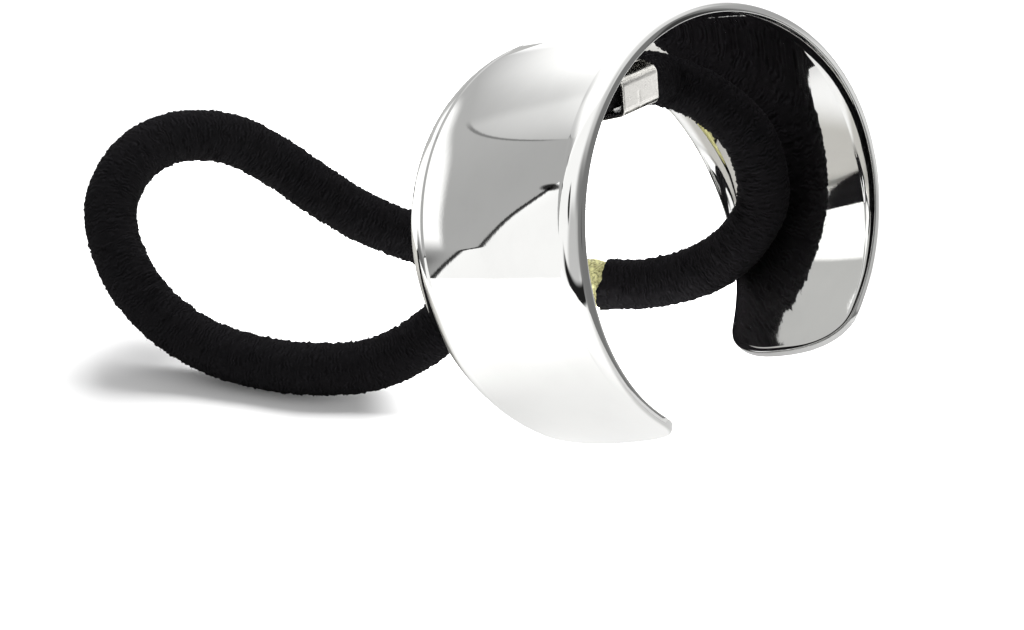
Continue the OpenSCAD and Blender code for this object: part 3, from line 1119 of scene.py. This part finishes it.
def tent_tone(turn, rise):
    """How bright the tent is. turn is the angle from the back towards the left and rise the angle up. The
    numbers are such angles in degrees, and tones."""
    # White behind and above, grey in front
    front = (turn - (104 - rise * 0.58)).smooth(0, 9) * rise.fade(48, 72)
    right = turn.fade(-64, -56) * rise.fade(44, 62)
    pale = turn.fade(-116, -110) * turn.smooth(-136, -131) * rise.fade(26, 34)
    tone = blend(TENT_WHITE, 1.08, turn.smooth(40, 50))
    tone = blend(tone, 0.7, right)
    tone = blend(tone, TENT_WHITE, pale)
    tone = blend(tone, 0.33, turn.fade(-134, -131) * rise.fade(48, 66))
    tone = blend(tone, 0.85, spot(turn, rise, -139, 9.5, 9, 8))
    tone = blend(tone, 0.34, front)

    # The grey wall behind: it is lighter above its ridge, and white below its foot and at its right end
    ahead, back = (turn - 4).most(0), (4 - turn).most(0)
    ridge = ahead * 0.12 + ahead * ahead * 0.0098 - back * back * 0.014 + 32.6
    lift = (rise - ridge).most(0)
    brighter = lift * turn.fade(-20, 6) * 0.045 + lift * 0.028
    above = turn.smooth(2, 9) * 0.12 * lift.smooth(0, 0.6)
    cloud = (turn - 38).size().smooth(0, 30) * 0.05
    wall_tone = 0.45 + above + brighter * 0.85 + cloud
    foot = 31.3 - ((turn - 6).size() ** 2.5) * 0.0024
    below = (foot - rise).smooth(0, 1.6) * turn.smooth(-14, -3) * rise.smooth(8, 13)
    edge = 46.7 + rise.smooth(9, 11) * 2.3 - (rise - 11).most(0) * 0.2
    wall = (edge - turn).smooth(-0.1, 0.1) * turn.smooth(-35, -31) * rise.fade(42, 56)
    tone = blend(tone, wall_tone.least(TENT_WHITE), wall)
    tone = blend(tone, TENT_WHITE, wall * below)
    tone = blend(tone, 0.17, wall * rise.fade(5, 10) * turn.smooth(30, 34) * (1 - turn.smooth(43, 46) * 0.7))

    # Dark lines along the wall's ridge and its left end
    tone = tone * (1 - line(rise - ridge, 0.1, 0.35) * turn.smooth(3, 9) * turn.fade(24, 29) * 0.5)
    tone = tone * (1 - line(turn - edge, 0.22, 0.4) * rise.fade(30, 32) * 0.94)
    tone = tone * (1 - spot(turn, rise, 45, 30.5, 1.9, 1.2) * 0.95)
    tone = tone * (1 - spot(turn, rise, 42.5, 40, 3.5, 2) * 0.3)

    # Dark things on the left
    tone = blend(tone, 0.6, turn.smooth(73, 82) * turn.fade(96, 104) * rise.fade(32, 44))
    sag = (turn - 87) ** 2 * 0.017 + 2
    tone = blend(tone, 0.015, line(rise - sag, 2.5, 4.5) * turn.smooth(62, 70) * turn.fade(103, 109))
    tone = blend(tone, 0.02, spot(turn, rise, 72.5, 35, 2.6, 8, -32))
    return blend(tone, 0.08, spot(turn, rise, 176, 32, 14, 5) + spot(turn, rise, -137, 34, 2.6, 8))


def tent_colour(place):
    """The colour of the light tent at a place."""
    x, y, z = parted(place)
    turn = (-x).math("ARCTAN2", y) * math.degrees(1)
    rise = (z / TENT_RADIUS).math("ARCSINE") * math.degrees(1)
    tone = tent_tone(turn, rise)
    return joined(tone, tone, tone)


def card_colour(place):
    """The glow of the card behind the cuff, which is painted reflection: white on the left, and faintly uneven
    grey on the right.
    """
    grey = grain(place, 20 * MM, 1.0) * 0.1 + CARD_GREY
    x, _, _ = parted(place)
    tone = blend(grey, TENT_WHITE, x.fade(*CARD_SPLIT))
    return joined(tone, tone, tone * 0.985)


def only_mirrored(name, mesh, colour_at):
    """A new piece that shows in reflections alone and glows in the colour that colour_at gives a place."""
    material = bpy.data.materials.new(name)
    material.use_nodes = True
    tree = material.node_tree
    tree.nodes.clear()
    place = tree.nodes.new("ShaderNodeTexCoord").outputs["Object"]
    glow = make(tree, "ShaderNodeEmission", {"Color": colour_at(place)})
    make(tree, "ShaderNodeOutputMaterial", {0: glow.outputs[0]})
    mesh.materials.append(material)
    piece = placed(name, mesh)
    for way in ("camera", "diffuse", "transmission", "volume_scatter", "shadow"):
        setattr(piece, "visible_" + way, False)
    return piece


def lamp_at(name, kind, place, power):
    """A new lamp, which the metal doesn't mirror."""
    light = placed(name, bpy.data.lights.new(name, kind))
    light.data.energy = power
    light.location = place
    light.visible_glossy = False
    return light


def soft_pieces():
    """The collection of what throws the key light's shadow: the elastic."""
    name = "soft_pieces"
    if name not in bpy.data.collections:
        bpy.data.collections.new(name)
    return bpy.data.collections[name]


class HAIRTIE_OT_stage(bpy.types.Operator):
    """Set up the camera, the surface, the light tent and the lights"""

    bl_idname = "hair_tie.stage"
    bl_label = "Stage"

    def execute(self, context):
        scene = context.scene
        camera = placed("camera", bpy.data.cameras.new("camera"))
        camera.data.lens = CAMERA_LENS
        camera.data.sensor_width = CAMERA_SENSOR
        camera.data.clip_start, camera.data.clip_end = CAMERA_SEES
        camera.location = CAMERA_PLACE
        camera.rotation_euler = [math.radians(a) for a in CAMERA_TURN]
        scene.camera = camera

        ground = bmesh.new()
        bmesh.ops.create_grid(ground, x_segments=8, y_segments=8, size=SURFACE_HALF)
        surface = placed("surface", mesh_of("surface", ground))
        surface.data.materials.append(floor_material(scene.hair_tie.finish))
        surface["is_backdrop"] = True

        dome = bmesh.new()
        bmesh.ops.create_uvsphere(dome, u_segments=TENT_SIDES, v_segments=TENT_SIDES // 2, radius=TENT_RADIUS)
        bmesh.ops.reverse_faces(dome, faces=dome.faces)
        tent = only_mirrored("light_tent", mesh_of("light_tent", dome), tent_colour)
        tent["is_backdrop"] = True
        card_mesh = bpy.data.meshes.new("grey_card")
        card_mesh.from_pydata([(x, CARD_BACK, z) for x, z in CARD_CORNERS], [], [(0, 1, 2, 3)])
        card = only_mirrored("grey_card", card_mesh, card_colour)
        card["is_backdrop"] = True

        world = bpy.data.worlds.new("soft_room")
        world.use_nodes = True
        room = world.node_tree.nodes["Background"]
        fill(room, {"Color": rgba((1, 1, 1)), "Strength": ROOM_STRENGTH})
        scene.world = world
        key = lamp_at("key_light", "AREA", KEY_PLACE, KEY_POWER)
        key.data.size = KEY_SIZE
        key.rotation_euler = (-Vector(KEY_PLACE)).to_track_quat("-Z", "Y").to_euler()
        key.visible_camera = False
        key.light_linking.blocker_collection = soft_pieces()

        # Pools of light on the surface alone, which keep it white round the cuff
        lit = bpy.data.collections.new("lit_by_pool")
        lit.objects.link(surface)
        for x, y, radius in POOLS:
            pool = lamp_at("pool_light", "SPOT", (x, y, POOL_HEIGHT), POOL_POWER)
            pool.data.spot_size = 2 * math.atan(radius / POOL_HEIGHT)
            pool.data.spot_blend = POOL_BLEND
            pool.data.shadow_soft_size = 0
            pool.data.use_shadow = False
            pool.light_linking.receiver_collection = lit
        scene.view_settings.view_transform = "Standard"
        return {"FINISHED"}


class HAIRTIE_PT_panel(bpy.types.Panel):
    """Lists the pieces of the hair tie and their settings"""

    bl_label = "Hair tie"
    bl_space_type = "VIEW_3D"
    bl_region_type = "UI"
    bl_category = "Hair tie"

    def draw(self, context):
        settings = context.scene.hair_tie
        for operator in OPERATORS:
            self.layout.operator(operator.bl_idname)
        for group in (settings.cuff, settings.strap, settings.elastic, settings.finish):
            box = self.layout.box()
            for key in group.__annotations__:
                box.prop(group, key)


OPERATORS = (HAIRTIE_OT_stage, HAIRTIE_OT_elastic, HAIRTIE_OT_joint, HAIRTIE_OT_cuff, HAIRTIE_OT_strap)
CLASSES = (
    HAIRTIE_PG_cuff, HAIRTIE_PG_strap, HAIRTIE_PG_elastic, HAIRTIE_PG_finish, HAIRTIE_PG_settings,
    *OPERATORS, HAIRTIE_PT_panel)


def register():
    """Registers the classes and the settings of the scene."""
    for item in CLASSES:
        bpy.utils.register_class(item)
    bpy.types.Scene.hair_tie = PointerProperty(type=HAIRTIE_PG_settings)


def unregister():
    """Removes the settings and the classes."""
    del bpy.types.Scene.hair_tie
    for item in reversed(CLASSES):
        bpy.utils.unregister_class(item)


def main():
    """Builds the hair tie."""
    register()
    bpy.ops.hair_tie.stage()
    bpy.ops.hair_tie.elastic()
    bpy.ops.hair_tie.joint()
    bpy.ops.hair_tie.cuff()
    bpy.ops.hair_tie.strap()
    boxes = {"cad": CAD_BOX, "visual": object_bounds()}
    {key: [list(corner) for corner in box] for key, box in boxes.items()}


if __name__ == "__main__":
    main()
